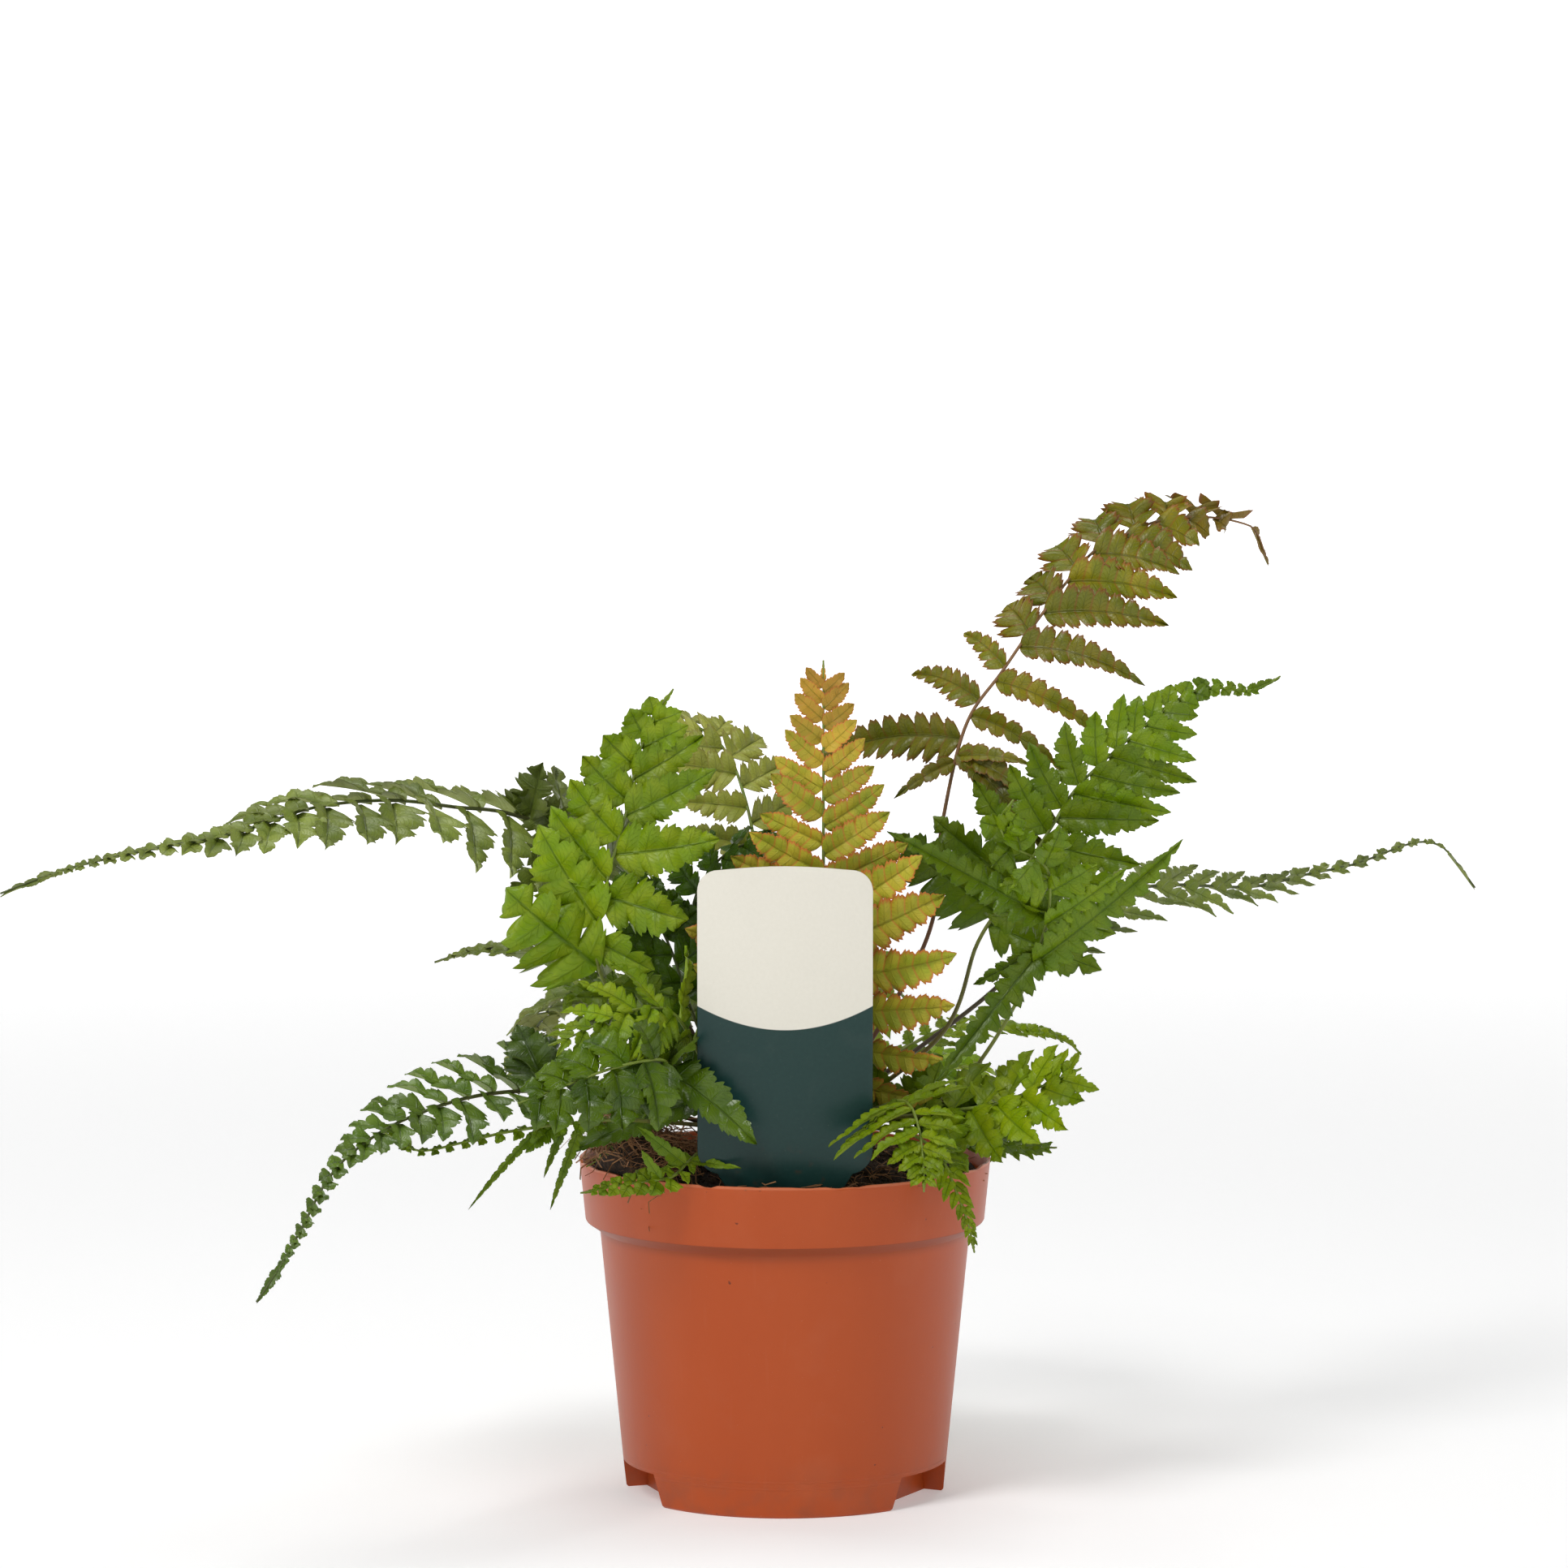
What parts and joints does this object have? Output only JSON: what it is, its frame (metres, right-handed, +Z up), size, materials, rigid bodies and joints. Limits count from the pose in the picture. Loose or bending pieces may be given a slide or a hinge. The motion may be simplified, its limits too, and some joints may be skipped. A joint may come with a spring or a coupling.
{
  "type": "potted fern",
  "caption": "Young autumn fern with arching, lobed fronds on thin stalks, in a round terracotta-coloured nursery pot of dark growing medium with a plain stick-in plant label.",
  "frame": {"origin": "on the ground at the pot's middle, which is also the middle of the whole plant's spread", "axes": "+Z up, +X to the right as the label is read, -Y the way the label faces"},
  "size_m": [0.432, 0.316, 0.2854],
  "materials": {
    "pot": "terracotta-coloured moulded plastic with a soft sheen",
    "soil": "rough dark peat with coir fibres",
    "crown": "brown papery scales",
    "label": "smooth printed plastic, cream above and dark teal below",
    "leaf_bronze": "thin leathery leaf with a soft gloss, bronze",
    "leaf_yellow": "thin leathery leaf with a soft gloss, yellow",
    "leaf_bright": "thin leathery leaf with a soft gloss, bright green",
    "leaf_olive": "thin leathery leaf with a soft gloss, olive green",
    "leaf_dark": "thin leathery leaf with a soft gloss, dark green",
    "leaf_lime": "thin leathery leaf with a soft gloss, yellow green"
  },
  "bodies": {
    "root": {"pot": "pot", "root_ball": "soil", "crown": "crown", "label": "label", "frond_tall_bronze": "leaf_bronze", "frond_yellow_middle": "leaf_yellow", "frond_bright_left_of_middle": "leaf_bright", "frond_long_left": "leaf_olive", "frond_drooping_left": "leaf_dark", "frond_thin_left": "leaf_olive", "frond_glossy_left_of_label": "leaf_dark", "frond_over_rim_left": "leaf_bright", "frond_drooping_front_right": "leaf_lime", "frond_over_rim_right": "leaf_dark", "frond_low_right": "leaf_bright", "frond_dark_right": "leaf_dark", "frond_big_upper_right": "leaf_bright", "frond_long_right": "leaf_olive", "frond_thin_back_right": "leaf_lime", "frond_olive_back_left": "leaf_olive", "frond_dark_over_label": "leaf_dark", "frond_dark_left_of_label": "leaf_dark", "frond_small_back_left": "leaf_olive", "frond_low_back_left": "leaf_dark", "frond_bright_pointing_left": "leaf_bright", "frond_short_right": "leaf_bright", "frond_back_low_left": "leaf_dark", "frond_back_middle": "leaf_bright", "frond_back_left": "leaf_olive", "frond_back_right": "leaf_bright"}
  },
  "joints": []
}
